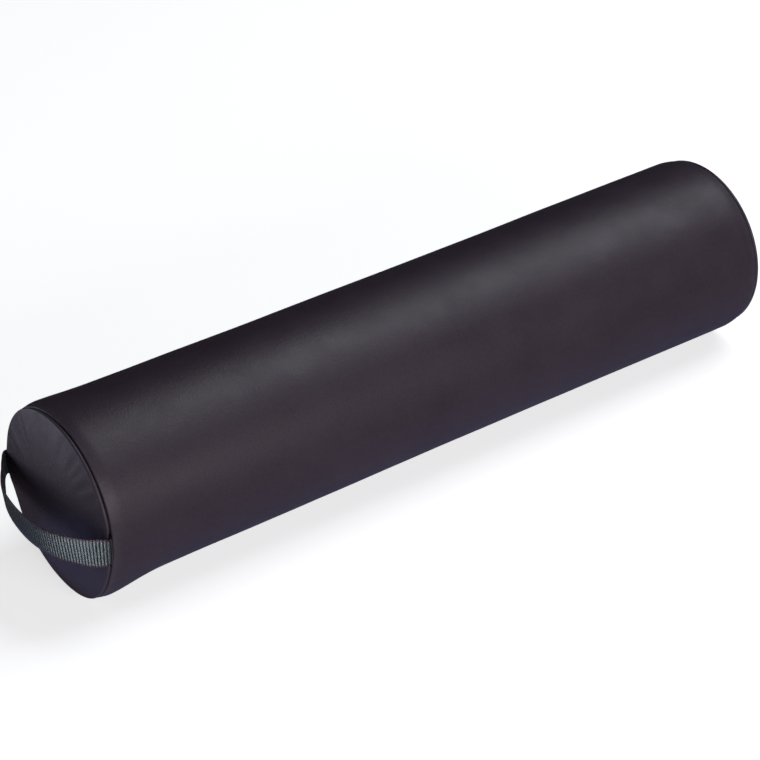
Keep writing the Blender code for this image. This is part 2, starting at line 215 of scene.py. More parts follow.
def waver(x, y, z):
    """Smooth noise at a place, from -1 to 1."""
    return noise.noise(Vector((x, y, z)))


def ramp(low, high, value):
    return float(smoothstep(low, high, value))


def evened(mesh, moved, held, rounds=6):
    """Evens out how far neighbouring points have moved, and keeps the held ones still."""
    ends = np.empty(len(mesh.edges) * 2, np.int32)
    mesh.edges.foreach_get("vertices", ends)
    first, second = ends[0::2], ends[1::2]
    count = np.maximum(np.bincount(ends, minlength=len(moved)), 1)[:, None]
    for _ in range(rounds):
        total = np.zeros_like(moved)
        np.add.at(total, first, moved[second])
        np.add.at(total, second, moved[first])
        moved = 0.5 * moved + 0.5 * total / count
        moved[held] = 0.0
    return moved


# Cloth settings for vinyl over foam
CLOTH = {
    "quality": 5,
    "mass": 0.3,
    "tension_stiffness": 15,
    "compression_stiffness": 15,
    "shear_stiffness": 5,
    "bending_stiffness": 0.5,
    "vertex_group_mass": "held",
    "use_pressure": True,
}
CLOTH_FRAMES = 16


def run_cloth(obj, pressure, slack):
    """Where a short cloth simulation takes the points. It leaves no modifier on the piece."""
    cloth = obj.modifiers.new("cloth", "CLOTH")
    for key, value in CLOTH.items():
        setattr(cloth.settings, key, value)
    cloth.settings.uniform_pressure_force = pressure
    cloth.settings.shrink_min = -slack
    cloth.settings.effector_weights.gravity = 0
    cloth.collision_settings.use_collision = False
    scene = bpy.context.scene
    for number in range(1, CLOTH_FRAMES + 1):
        scene.frame_set(number)
    graph = bpy.context.evaluated_depsgraph_get()
    after = points_of(obj.evaluated_get(graph).data)
    obj.modifiers.remove(cloth)
    scene.frame_set(1)
    return after


def swell(obj, held, pressure, slack, most, ease=None):
    """Swells a skin as cloth under pressure, with some points held, and moves none of them further than most.

    ease gives the share of that movement each point keeps.
    """
    before = points_of(obj.data)
    obj.vertex_groups.new(name="held").add([int(i) for i in held], 1.0, "REPLACE")
    moved = run_cloth(obj, pressure, slack) - before
    obj.vertex_groups.clear()
    length = np.linalg.norm(moved, axis=1)
    share = np.where(length > most, most / np.maximum(length, 1e-9), 1.0)
    moved = evened(obj.data, moved * share[:, None], held)
    if ease:
        moved = moved * np.array([ease(point) for point in before])[:, None]
    put_points(obj.data, before + moved)


COIL_POINTS = 50  # a route of more points than this is a zip coil, wound about X


def thread_frame(route):
    """Two directions across the route at each of its points."""
    tangent = np.gradient(route, axis=0)
    tangent /= np.linalg.norm(tangent, axis=1)[:, None]
    helper = np.eye(3)[int(np.argmin(np.abs(tangent.mean(axis=0))))]
    if len(route) > COIL_POINTS:
        helper = np.array((1.0, 0.0, 0.0))
    first = helper - (tangent @ helper)[:, None] * tangent
    first /= np.linalg.norm(first, axis=1)[:, None]
    return first, np.cross(tangent, first)


def sweep(routes, radius, sides=6):
    """Round thread along each of the routes, lists of points, with its ends narrowed and closed."""
    verts, faces, along = [], [], []
    for route in routes:
        route = np.asarray(route, float)
        first, second = thread_frame(route)
        reach = np.full(len(route), radius)
        reach[0] = reach[-1] = radius * 0.45
        base = len(verts)
        steps = distances(route)
        for index, point in enumerate(route):
            for side in range(sides):
                angle = TURN * side / sides
                offset = first[index] * math.cos(angle) + second[index] * math.sin(angle)
                verts.append(point + reach[index] * offset)
                along.append(steps[index])
        faces += [tuple(base + i for i in face) for face in grid_faces(len(route), sides, True)]
        last = base + (len(route) - 1) * sides
        faces.append(tuple(base + side for side in reversed(range(sides))))
        faces.append(tuple(last + side for side in range(sides)))
    return verts, faces, along


def threads(name, routes, radius, material, sides=6):
    verts, faces, along = sweep(routes, radius, sides)
    obj = add_mesh(name, verts, faces, material)
    set_values(obj, "along", along)
    face_outwards(obj)
    return obj


def face_outwards(obj):
    bm = bmesh.new()
    bm.from_mesh(obj.data)
    bmesh.ops.recalc_face_normals(bm, faces=bm.faces)
    bm.to_mesh(obj.data)
    bm.free()


def turn_out(obj, outwards):
    """Turns an open skin over, if most of it faces against outwards(centre of a face)."""
    agree = sum(face.normal.dot(outwards(face.center)) * face.area for face in obj.data.polygons)
    if agree < 0:
        obj.data.flip_normals()


# ---------- helpers: materials ----------


class Finish:
    """A node material around one Principled shader."""

    def __init__(self, name, roughness, metallic=0.0, sheen=0.0, specular=0.5):
        self.material = bpy.data.materials.new(name)
        self.material.use_nodes = True
        self.tree = self.material.node_tree
        self.shader = self.tree.nodes["Principled BSDF"]
        self.shader.inputs["Roughness"].default_value = roughness
        self.shader.inputs["Metallic"].default_value = metallic
        self.shader.inputs["Sheen Weight"].default_value = sheen
        self.shader.inputs["Specular IOR Level"].default_value = specular
        self.place = self.node("ShaderNodeTexCoord").outputs["Object"]
        self.heights = []

    def node(self, kind, **settings):
        made = self.tree.nodes.new(kind)
        for key, value in settings.items():
            setattr(made, key, value)
        return made

    def fill(self, socket, value):
        if isinstance(value, bpy.types.NodeSocket):
            self.tree.links.new(value, socket)
        elif isinstance(value, (tuple, list)) and len(value) == 3 and socket.type == "RGBA":
            socket.default_value = (*value, 1.0)
        else:
            socket.default_value = value

    def math(self, operation, *values):
        made = self.node("ShaderNodeMath", operation=operation)
        for socket, value in zip(made.inputs, values):
            self.fill(socket, value)
        return made.outputs[0]

    def value(self, name):
        return self.node("ShaderNodeAttribute", attribute_name=name).outputs["Fac"]

    def stretched(self, scale):
        """The piece's own coordinates, stretched along the axes."""
        made = self.node("ShaderNodeMapping")
        self.fill(made.inputs["Vector"], self.place)
        made.inputs["Scale"].default_value = scale
        return made.outputs["Vector"]

    def noise(self, scale, detail=3.0, roughness=0.5, vector=None):
        made = self.node("ShaderNodeTexNoise")
        self.fill(made.inputs["Vector"], vector or self.place)
        made.inputs["Scale"].default_value = scale
        made.inputs["Detail"].default_value = detail
        made.inputs["Roughness"].default_value = roughness
        return made.outputs["Fac"]

    def cells(self, scale):
        made = self.node("ShaderNodeTexVoronoi")
        self.fill(made.inputs["Vector"], self.place)
        made.inputs["Scale"].default_value = scale
        return made.outputs["Distance"]

    def between(self, value, low, high, to_low=0.0, to_high=1.0):
        made = self.node("ShaderNodeMapRange")
        entries = {"Value": value, "From Min": low, "From Max": high, "To Min": to_low, "To Max": to_high}
        for key, entry in entries.items():
            self.fill(made.inputs[key], entry)
        return made.outputs["Result"]

    def times(self, first, second):
        return self.math("MULTIPLY", first, second)

    def wave(self, angle):
        return self.math("ABSOLUTE", self.math("SINE", angle))

    def patches(self, scale, detail, low, high, to_low=0.0, to_high=1.0):
        """Noise, turned into a value from to_low to to_high."""
        return self.between(self.noise(scale, detail), low, high, to_low, to_high)

    def mix(self, share, first, second):
        made = self.node("ShaderNodeMix", data_type="RGBA")
        self.fill(made.inputs["Factor"], share)
        colour_inputs = [s for s in made.inputs if s.type == "RGBA"]
        self.fill(colour_inputs[0], first)
        self.fill(colour_inputs[1], second)
        return [s for s in made.outputs if s.type == "RGBA"][0]

    def colour(self, value):
        self.fill(self.shader.inputs["Base Color"], value)

    def rough(self, value):
        self.fill(self.shader.inputs["Roughness"], value)

    def bump(self, height, distance, strength=1.0):
        """Adds relief to what is there already."""
        made = self.node("ShaderNodeBump")
        made.inputs["Strength"].default_value = strength
        made.inputs["Distance"].default_value = distance
        self.fill(made.inputs["Height"], height)
        if self.heights:
            self.fill(made.inputs["Normal"], self.heights[-1])
        self.heights.append(made.outputs["Normal"])
        self.fill(self.shader.inputs["Normal"], made.outputs["Normal"])


def vinyl_finish():
    """Satin dark plum leatherette: fine grain, soft mottling, paler where it is folded at a seam."""
    f = Finish("plum_vinyl", 0.46, specular=0.42)
    mottle = f.patches(14.0, 4.0, 0.32, 0.68)
    base = f.mix(mottle, (0.0300, 0.0185, 0.0300), (0.0375, 0.0235, 0.0365))
    speck = f.between(f.noise(520.0, 5.0, 0.65), 0.36, 0.66)
    grained = f.mix(f.times(speck, 0.40), base, (0.050, 0.038, 0.050))
    worn = f.times(f.value("near_seam"), f.patches(90.0, 5.0, 0.3, 0.7, 0.15, 0.6))
    f.colour(f.mix(worn, grained, (0.060, 0.048, 0.064)))
    f.rough(f.patches(38.0, 4.0, 0.3, 0.7, 0.42, 0.52))
    f.bump(f.noise(55.0, 3.0), 0.0006, 0.25)
    f.bump(f.cells(1150.0), 0.00016, 0.55)
    f.bump(f.noise(420.0, 5.0, 0.6), 0.00026, 0.60)
    return f.material


def webbing_finish():
    """Black nylon webbing: threads run along it over its cross ribs, with plum threads in its edges, and
    painted shade in the grooves between the ribs.
    """
    f = Finish("black_webbing", 0.36, sheen=0.10, specular=0.62)
    along, across = f.value("along"), f.value("across")
    rib = f.math("DIVIDE", along, RIB_PITCH)
    groove = f.wave(f.times(rib, math.pi))
    shift = f.times(f.math("MODULO", f.math("FLOOR", rib), 2.0), math.pi / 2)
    thread_turns = f.math("ADD", f.times(across, math.pi / 0.00085), shift)
    thread = f.wave(thread_turns)
    tone = f.mix(f.patches(160.0, 3.0, 0.3, 0.7), (0.0105, 0.0150, 0.0170), (0.0200, 0.0280, 0.0300))
    # painted shade: the colour goes to near black in the grooves between the ribs, and to the webbing's tone
    # on their crests
    tone_with_painted_groove_shade = f.mix(f.between(groove, 0.15, 0.75), (0.0030, 0.0034, 0.0042), tone)
    edge = f.between(f.math("ABSOLUTE", across), 0.0109, 0.0117)
    edge_tone = f.mix(f.patches(700.0, 2.0, 0.35, 0.65), (0.010, 0.004, 0.008), (0.075, 0.028, 0.052))
    f.colour(f.mix(edge, tone_with_painted_groove_shade, edge_tone))
    on_ribs = f.between(groove, 0.25, 0.85, 0.04, 0.62)
    off_edges = f.between(edge, 0.0, 1.0, 1.0, 0.25)
    f.fill(f.shader.inputs["Specular IOR Level"], f.times(on_ribs, off_edges))
    f.rough(f.patches(900.0, 3.0, 0.3, 0.7, 0.30, 0.46))
    f.bump(f.times(thread, groove), 0.00012, 0.8)
    f.bump(f.noise(2600.0, 2.0), 0.00005, 0.5)
    return f.material


def foam_finish(name, pale, deep, scale):
    """Open-cell foam or fibre fill: small pits and patchy colour."""
    f = Finish(name, 0.95)
    patch = f.mix(f.patches(30.0, 4.0, 0.3, 0.7), deep, pale)
    pits = f.between(f.cells(scale), 0.15, 0.55)
    f.colour(f.mix(f.times(pits, 0.4), patch, deep))
    f.rough(f.patches(300.0, 3.0, 0.3, 0.7, 0.88, 1.0))
    f.bump(f.cells(scale), 0.0006, 0.8)
    f.bump(f.noise(scale * 2, 3.0), 0.0003, 0.5)
    return f.material


def fibre_finish():
    """Wadding: long pale fibres laid every way."""
    f = Finish("wadding_fibres", 0.95, sheen=0.2)
    one = f.noise(60.0, 6.0, 0.7, f.stretched((1.0, 14.0, 14.0)))
    other = f.noise(60.0, 6.0, 0.7, f.stretched((14.0, 2.0, 2.0)))
    fibres = f.math("MAXIMUM", one, other)
    f.colour(f.mix(f.between(fibres, 0.35, 0.75), (0.52, 0.51, 0.49), (0.86, 0.86, 0.84)))
    f.rough(f.between(one, 0.3, 0.7, 0.85, 1.0))
    f.bump(fibres, 0.0008, 0.9)
    return f.material


def tape_finish():
    """Zip tape: a fine herringbone in black polyester, with painted shade in the hollows of its weave."""
    f = Finish("zip_tape_weave", 0.80, sheen=0.12)
    along, across = f.value("along"), f.value("across")
    bands = f.math("PINGPONG", across, 0.0016)
    slant = f.math("ADD", along, f.times(bands, 1.4))
    twill = f.wave(f.times(slant, math.pi / 0.00055))
    fuzz = f.patches(800.0, 3.0, 0.3, 0.7)
    # painted shade: darker in the hollows of the twill, and darker at random where the fuzz is low
    f.colour(f.mix(f.times(twill, fuzz), (0.0040, 0.0038, 0.0046), (0.0190, 0.0170, 0.0200)))
    f.rough(f.between(fuzz, 0.0, 1.0, 0.72, 0.90))
    f.bump(twill, 0.00014, 0.9)
    return f.material


def nylon_finish():
    """The coil's smooth black nylon, scuffed where the slider runs."""
    f = Finish("zip_coil_nylon", 0.38, specular=0.55)
    scuffs = f.between(f.noise(500.0, 5.0, 0.65, f.stretched((0.25, 1.0, 1.0))), 0.45, 0.75)
    f.colour(f.mix(scuffs, (0.0085, 0.0080, 0.0095), (0.0260, 0.0240, 0.0280)))
    f.rough(f.between(scuffs, 0.0, 1.0, 0.32, 0.55))
    f.bump(f.noise(2500.0, 2.0), 0.00004, 0.5)
    return f.material


def thread_finish():
    """Twisted sewing thread, a shade paler than the vinyl, with painted shade in the hollows of its twist."""
    f = Finish("plum_thread", 0.62, sheen=0.15)
    twist = f.wave(f.times(f.value("along"), math.pi / 0.0007))
    mottle = f.patches(1200.0, 3.0, 0.3, 0.7)
    tone = f.mix(mottle, (0.0240, 0.0185, 0.0260), (0.0480, 0.0380, 0.0510))
    # painted shade: darker in the hollows between the crests of the twist
    f.colour(f.mix(twist, (0.0100, 0.0080, 0.0110), tone))
    f.rough(f.between(mottle, 0.0, 1.0, 0.55, 0.70))
    f.bump(twist, 0.00010, 0.8)
    return f.material


def metal_finish():
    """Dark lacquered zinc: brushed lightly, with brighter worn patches."""
    f = Finish("zip_gunmetal", 0.32, metallic=1.0)
    brushed = f.noise(900.0, 4.0, 0.6, f.stretched((0.08, 1.0, 1.0)))
    worn = f.between(f.noise(260.0, 5.0, 0.65), 0.52, 0.72)
    dark = f.mix(brushed, (0.050, 0.050, 0.056), (0.095, 0.094, 0.100))
    f.colour(f.mix(f.times(worn, 0.6), dark, (0.33, 0.32, 0.31)))
    f.rough(f.between(brushed, 0.3, 0.7, 0.24, 0.42))
    f.bump(brushed, 0.00003, 0.5)
    return f.material


# ---------- the cover's long panel ----------

COLUMN_COUNT = 120
OPENING_X = TACK_LOW.x - 0.001  # half the opening's length
OPENING_ANGLE = math.asin(0.0050 / RADIUS)
SHOULDER = 0.0100
SHOULDER_DROP = 0.0015
FOLD_RADIUS = 0.0015
ALLOWANCE = 0.0080
STRAP_Z = (STRAP_LOW.z + STRAP_HIGH.z) / 2


def on_axis(x):
    return Vector((x, 0, AXIS_Z))


def around(angle):
    """The direction at an angle from the zip, measured down the back."""
    return OUT * math.cos(angle) + DOWN * math.sin(angle)


def column_angles(count):
    """Angles from the zip, with a column on each edge of the opening."""
    step = TURN / count
    angles = [step * i for i in range(count)]
    angles[1] = OPENING_ANGLE
    angles[-1] = TURN - OPENING_ANGLE
    return angles


def pucker(angle, seed):
    """Uneven gathers around a seam, from -1 to 1."""
    direction = Vector((math.cos(angle), math.sin(angle), seed * 3.7))
    slow = noise.noise(direction * 3.1)
    fast = noise.noise(direction * 11.0 + Vector((0, 0, 9.1)))
    return 0.55 * slow + 0.9 * fast


def bump(angle, centre, width):
    """A smooth bump around a place on the end's outline, with both in degrees."""
    apart = abs((math.degrees(angle) - centre + 180) % 360 - 180)
    return ramp(width, 0.0, apart)


def flare(y, z):
    """How far the handle end's outline leaves its circle."""
    angle = math.atan2(z - AXIS_Z, -y)
    return sum(height * bump(angle, centre, width) for centre, width, height in FLARES)


def flare_reach(x):
    """The share of the flare at a place along the tube: all of it at the handle end's seam."""
    return ramp(EDGE_X - 0.058, EDGE_X - 0.002, -x)


# The handle end spreads at its lower front, where it bears on the table, and is drawn in at its lower back.
# Centre and width in degrees, up from the front, and height
FLARES = (
    (-56, 40, 0.0046),
    (126, 45, 0.0016),
    (-122, 40, -0.0030),
    (-170, 45, -0.0012),
    (-155, 24, -0.0040),
)


def tube_profile():
    """Half of the tube's outline from its middle out, as (x, radius, share of being held by the seam)."""
    fold_top = RADIUS - SHOULDER_DROP
    shoulder_end = EDGE_X - FOLD_RADIUS
    shoulder_start = shoulder_end - SHOULDER
    rows = [(x, RADIUS, 0.0) for x in np.linspace(0, OPENING_X, 33)]
    rows += [(x, RADIUS, 0.0) for x in np.linspace(OPENING_X, shoulder_start, 11)[1:-1]]
    for share in np.linspace(1, 0, 8):
        drop = SHOULDER_DROP * (1 - math.sin(share * math.pi / 2))
        rows.append((shoulder_end - share * SHOULDER, RADIUS - drop, (1 - share) ** 2))
    for angle in np.linspace(0, math.pi / 2, 6)[1:]:
        x = shoulder_end + FOLD_RADIUS * math.sin(angle)
        rows.append((x, fold_top - FOLD_RADIUS * (1 - math.cos(angle)), 1.0))
    for share in (0.2, 0.6, 1.0):
        rows.append((EDGE_X, fold_top - FOLD_RADIUS - share * (ALLOWANCE - FOLD_RADIUS), 1.0))
    return rows


def tube_ease(point):
    """The long panel swells least towards its ends, where the seams hold it round."""
    return ramp(EDGE_X - 0.006, EDGE_X - 0.110, abs(point[0]))


PUCKER_REACH = 0.009  # how far in from the seam the long panel is gathered
PUCKER_HEIGHT = 0.00022


def tube_point(x, radius, angle):
    """A point of the long panel, gathered beside its seams and flared at the handle end."""
    direction = around(angle)
    lift = 0.0
    if radius > RADIUS - 0.0016 and abs(x) < EDGE_X - 0.001:
        inner = math.exp(-(((EDGE_X - abs(x)) / PUCKER_REACH) ** 2))
        lift = PUCKER_HEIGHT * pucker(angle, 1 if x > 0 else 2) * inner
    point = on_axis(x) + direction * (radius + lift)
    point += direction * flare(point.y, point.z) * flare_reach(x)
    return point


def make_tube(material):
    """The long panel: straight along the zip and the flat it rests on, and soft elsewhere."""
    half = tube_profile()
    rows = [(-x, r, s) for x, r, s in reversed(half[1:])] + half
    angles = column_angles(COLUMN_COUNT)
    verts, held, worn = [], [], []
    for x, radius, share in rows:
        for angle in angles:
            point = tube_point(x, radius, angle)
            flat = point.z < AXIS_Z - REST
            point.z = max(point.z, AXIS_Z - REST)
            near_zip = min(angle, TURN - angle) < 0.13
            if flat or near_zip or share > 0.95:
                held.append(len(verts))
            verts.append(point)
            worn.append(share if radius > RADIUS - 0.005 else 0.0)
    count = len(angles)

    def keep(row, column):
        """Leaves out the faces of the zip's opening."""
        middle = (rows[row][0] + rows[row + 1][0]) / 2
        return not (column in (count - 1, 0) and abs(middle) < OPENING_X)

    tube = add_mesh("cover_long_panel", verts, grid_faces(len(rows), count, True, keep), material)
    set_values(tube, "near_seam", worn)
    turn_out(tube, lambda at: Vector((0, at.y, at.z - AXIS_Z)))
    swell(tube, held, pressure=2.0, slack=0.0015, most=0.0009, ease=tube_ease)
    soften_tube(tube)
    drop_loose(tube)
    subdivide(tube)
    thicken(tube, VINYL)
    return tube


SLOW_RELIEF = 0.00035
FINE_RELIEF = 0.00012


def soften_tube(tube):
    """Slow hollows and swells, as foam shows through vinyl, away from the zip and the flat it rests on."""
    points = points_of(tube.data)
    for index, point in enumerate(points):
        across = Vector((0, point[1], point[2] - AXIS_Z))
        radius = across.length
        if radius < RADIUS - 0.003:
            continue
        direction = across / radius
        angle = math.acos(max(-1, min(1, direction.dot(OUT))))
        free = ramp(0.13, 0.5, angle)
        free *= ramp(-REST + 0.0005, -REST + 0.012, point[2] - AXIS_Z)
        free *= ramp(EDGE_X - 0.004, EDGE_X - 0.05, abs(point[0]))
        slow = waver(point[0] * 9, point[1] * 16, point[2] * 16)
        finer = waver(point[0] * 30 + 7, point[1] * 34, point[2] * 34)
        shift = direction * (SLOW_RELIEF * slow + FINE_RELIEF * finer) * free
        points[index] = (point[0], point[1] + shift.y, point[2] + shift.z)
    put_points(tube.data, points)


# ---------- the end panels ----------

END_RADIUS = (END_HIGH.z - END_LOW.z) / 2
ROLL_RADIUS = 0.0016  # of the end panel's rolled edge
ROLL_CENTRE = END_RADIUS - 0.0011
ROLL_TURN = math.radians(150)
CROWN_POWER = 3.0  # above 2 the panel is flatter in its middle and falls off faster near its edge


def strap_window(y, z):
    """1 where the strap passes through the handle end's seam, 0 away from it."""
    inside = smoothstep(0.0175, 0.0125, abs(z - STRAP_Z))
    return float(inside * smoothstep(0.060, 0.066, abs(y)))


def end_profile(crown):
    """An end panel's outline from its middle out: (out from the panel's back, radius, share of its roll)."""
    face = VINYL
    rows = []
    for radius in np.concatenate([np.linspace(0.002, 0.056, 13), np.linspace(0.0595, ROLL_CENTRE, 7)]):
        rows.append((face + crown * (1 - (radius / END_RADIUS) ** CROWN_POWER), radius, 0.0))
    start = face + crown * (1 - (ROLL_CENTRE / END_RADIUS) ** CROWN_POWER)
    for angle in np.linspace(0, ROLL_TURN, 8)[1:]:
        out = start - ROLL_RADIUS * (1 - math.cos(angle))
        rows.append((out, ROLL_CENTRE + ROLL_RADIUS * math.sin(angle), angle / ROLL_TURN))
    return rows


CREASE_HEIGHT = 0.00075


def end_point(side, out, radius, roll, angle):
    """A point of an end panel. The handle end flares and makes way for the strap."""
    y, z = radius * math.sin(angle), AXIS_Z + radius * math.cos(angle)
    top = 0.25 + 0.75 * ramp(-0.1, 0.8, math.cos(angle))
    creases = pucker(angle, 3 if side < 0 else 5)
    reach = ramp(0.040, 0.062, radius) * ramp(0.0745, 0.070, radius)
    shift = CREASE_HEIGHT * creases * top * reach
    pull = 1.0
    if side < 0:
        spread = 1 + flare(y, z) * (radius / END_RADIUS) ** 2 / END_RADIUS
        y, z = y * spread, max(AXIS_Z + (z - AXIS_Z) * spread, AXIS_Z - REST + 0.0008)
        window = strap_window(y, z)
        out = out + window * (0.0005 + 0.0014 * roll)
        pull = 1 - window * 0.0006 / max(radius, 0.01)
    return side * (END_BACK + out + shift), y * pull, AXIS_Z + (z - AXIS_Z) * pull


def make_end(name, side, material):
    """A crowned end panel whose edge rolls into the seam's groove, with soft creases near its top."""
    rows = end_profile(crown=0.0044)
    columns = 144
    verts, held, worn = [], [], []
    for out, radius, roll in rows:
        for column in range(columns):
            if roll > 0:
                held.append(len(verts))
            verts.append(end_point(side, out, radius, roll, TURN * column / columns))
            worn.append(ramp(0.0, 0.35, roll))
    middle = len(verts)
    verts.append((side * (END_BACK + rows[0][0]), 0, AXIS_Z))
    worn.append(0.0)
    faces = grid_faces(len(rows), columns, True)
    faces += [(column, middle, (column + 1) % columns) for column in range(columns)]
    panel = add_mesh(name, verts, faces, material)
    set_values(panel, "near_seam", worn)
    turn_out(panel, lambda at: Vector((side, 0, 0)))
    swell(panel, held, pressure=2.0, slack=0.0015, most=0.0014)
    subdivide(panel)
    thicken(panel, VINYL)
    return panel


# ---------- the webbing handle ----------

RIB_PITCH = 0.00255
STRAP_WIDTH = STRAP_HIGH.z - STRAP_LOW.z
TAIL_WIDTH = TAIL_HIGH.z - TAIL_LOW.z
STRAP_THICKNESS = 0.0016
ANCHOR_Y = 0.0761
STRAP_LEAN = 0.13  # the bow leans out at its upper edge
# The handle's bow: (out from the seam, across the end)
STRAP_BOW = (
    (0.0040, -0.0754),
    (0.0085, -0.0728),
    (0.0175, -0.0645),
    (0.0315, -0.0400),
    (0.0355, -0.0080),
    (0.0295, 0.0300),
    (0.0160, 0.0560),
    (0.0085, 0.0685),
    (0.0040, 0.0742),
)


def smooth_route(points, step):
    """A Catmull-Rom curve through the points, cut into even steps."""
    points = [Vector(p) for p in points]
    padded = [2 * points[0] - points[1], *points, 2 * points[-1] - points[-2]]
    dense = []
    for a, b, c, d in zip(padded, padded[1:], padded[2:], padded[3:]):
        for i in range(24):
            t = i / 24
            square = (2 * a - 5 * b + 4 * c - d) * t * t
            dense.append(0.5 * (2 * b + (c - a) * t + square + (3 * b - a - 3 * c + d) * t**3))
    dense.append(points[-1])
    dense = np.array(dense)
    length = distances(dense)
    even = np.linspace(0, length[-1], max(2, round(length[-1] / step)))
    return np.stack([np.interp(even, length, dense[:, k]) for k in range(3)], axis=1), even


def strap_points():
    """The strap's route as (x, y): out of the seam at the front, round the bow and into the seam behind."""
    inside = -EDGE_X - 0.0011
    tail = [
        (inside, ANCHOR_Y - 0.0096),
        (inside, ANCHOR_Y - 0.0042),
        (inside - 0.0002, ANCHOR_Y - 0.0018),
        (inside - 0.0013, ANCHOR_Y - 0.0003),
    ]
    front = [(x, -y) for x, y in tail]
    bow = [(-SEAM_X - out, across) for out, across in STRAP_BOW]
    return front + bow + list(reversed(tail))


STRAP_ACROSS = 15  # points across each face of the strap
STRAP_EDGE = 3  # points round each of its edges


def strap_section(along, width):
    """The strap's cross section at a place along it, as (height, across): ribbed faces and rounded edges."""
    rib = abs(math.sin(math.pi * along / RIB_PITCH)) ** 0.75
    bulk = STRAP_THICKNESS / 2
    loop = []
    for side in (1, -1):
        for i in range(STRAP_ACROSS):
            share = side * (2 * i / (STRAP_ACROSS - 1) - 1)
            wave = 0.00006 * waver(along * 300, share * 5 + side * 4, 1.5)
            edge = 1 - abs(share) ** 8
            height = bulk * (0.48 + 0.52 * rib * edge) * (0.75 + 0.25 * edge) + wave * edge
            loop.append((side * height, share * (width / 2 - 0.0002)))
        for i in range(1, STRAP_EDGE + 1):
            angle = math.pi * (i / (STRAP_EDGE + 1) - 0.5)
            tip = width / 2 - 0.0002 + 0.0003 * math.cos(angle)
            loop.append((-side * bulk * 0.46 * math.sin(angle), side * tip))
    return loop


def make_strap(material):
    """One continuous ribbed strap, from tail to tail."""
    route, along = smooth_route([(x, y, 0) for x, y in strap_points()], RIB_PITCH / 12)
    tangent = np.gradient(route, axis=0)
    tangent /= np.linalg.norm(tangent, axis=1)[:, None]
    normal = np.stack([tangent[:, 1], -tangent[:, 0], np.zeros(len(route))], axis=1)
    verts, along_values, across_values = [], [], []
    for index, point in enumerate(route):
        out = -point[0] - SEAM_X
        width = TAIL_WIDTH + (STRAP_WIDTH - TAIL_WIDTH) * ramp(0.000, 0.008, out)
        lean = STRAP_LEAN * ramp(0.002, 0.030, out)
        for height, across in strap_section(along[index], width):
            place = point + normal[index] * height
            verts.append((place[0] - lean * across, place[1], STRAP_Z + across))
            along_values.append(along[index])
            across_values.append(across * STRAP_WIDTH / width)
    section = 2 * (STRAP_ACROSS + STRAP_EDGE)
    strap = add_mesh("webbing_handle", verts, capped_faces(len(route), section), material)
    set_values(strap, "along", along_values)
    set_values(strap, "across", across_values)
    face_outwards(strap)
    return strap


# ---------- filling ----------


def make_core(material):
    """The firm foam cylinder, with crowned ends and a slightly uneven cut surface."""
    radius = (CORE_HIGH.z - CORE_LOW.z) / 2
    end = CORE_HIGH.x
    crown, rounding = 0.0040, 0.003
    half = [(x, radius) for x in np.linspace(0, end - crown - rounding, 28)]
    for angle in np.linspace(0, math.pi / 2, 5):
        x = end - crown - rounding + rounding * math.sin(angle)
        half.append((x, radius - rounding * (1 - math.cos(angle))))
    for share in (0.88, 0.75, 0.6, 0.45, 0.3, 0.15, 0.03):
        half.append((end - crown * share * share, radius * share))
    return make_turned("foam_cylinder", half, material, roughness=0.0003)


def make_turned(name, half, material, roughness):
    """A closed solid turned about the axis from half its outline, and mirrored to both ends."""
    rows = [(-x, r) for x, r in reversed(half[1:])] + list(half)
    columns = 96
    verts = []
    for x, radius in rows:
        for column in range(columns):
            direction = around(TURN * column / columns)
            uneven = waver(x * 60, direction.y * 9, direction.z * 9)
            here = radius - roughness * (0.5 + 0.5 * uneven)
            verts.append(on_axis(x) + direction * here)
    obj = add_mesh(name, verts, capped_faces(len(rows), columns), material)
    face_outwards(obj)
    return obj


def wrap_outline(inner):
    """The wadding sleeve's section, as (x, radius), with rounded outer corners."""
    outer = (WRAP_HIGH.y - WRAP_LOW.y) / 2 - 0.0006
    end = WRAP_HIGH.x
    soft = 0.0050
    corner = []
    for angle in np.linspace(0, math.pi / 2, 6)[1:]:
        corner.append((end - 2 * soft + 2 * soft * math.sin(angle), outer - soft * (1 - math.cos(angle))))
    corner += [(end, inner + 0.002), (end - 0.001, inner)]
    outline = [(x, outer) for x in np.linspace(-end + 2 * soft, end - 2 * soft, 60)]
    outline += corner
    outline += [(x, inner) for x in np.linspace(end - 0.02, -end + 0.02, 20)]
    return outline + [(-x, radius) for x, radius in reversed(corner)]


def wrap_point(x, radius, angle, outside):
    """A point of the sleeve. Its outside is uneven, and follows the zip's channel and the cover's flare."""
    direction = around(angle)
    here = radius
    if outside:
        across = RADIUS * math.atan2(math.sin(angle), math.cos(angle))
        along_zip = smoothstep(TAPE_END + 0.008, TAPE_END, abs(x))
        here -= 0.0022 * float(smoothstep(0.026, 0.021, abs(across)) * along_zip)
        here += 0.0004 * waver(x * 40, direction.y * 7, direction.z * 7) - 0.0002
    point = on_axis(x) + direction * here
    if outside:
        point += direction * flare(point.y, point.z) * flare_reach(x)
    point.z = max(point.z, AXIS_Z - REST + VINYL + 0.0004)
    return point


def make_wrap(material):
    """The wadding sleeve: soft-edged, pressed flat underneath, with a shallow channel under the zip."""
    inner = (CORE_HIGH.z - CORE_LOW.z) / 2 + 0.0003
    outline = wrap_outline(inner)
    columns = 120
    verts = []
    for column in range(columns):
        angle = TURN * column / columns
        for x, radius in outline:
            verts.append(wrap_point(x, radius, angle, radius > inner + 0.003))
    faces = grid_faces(columns, len(outline), True)
    last = (columns - 1) * len(outline)
    for i in range(len(outline)):
        beside = (i + 1) % len(outline)
        faces.append((last + i, last + beside, beside, i))
    wrap = add_mesh("wadding_sleeve", verts, faces, material)
    face_outwards(wrap)
    return wrap


# ---------- the zip ----------

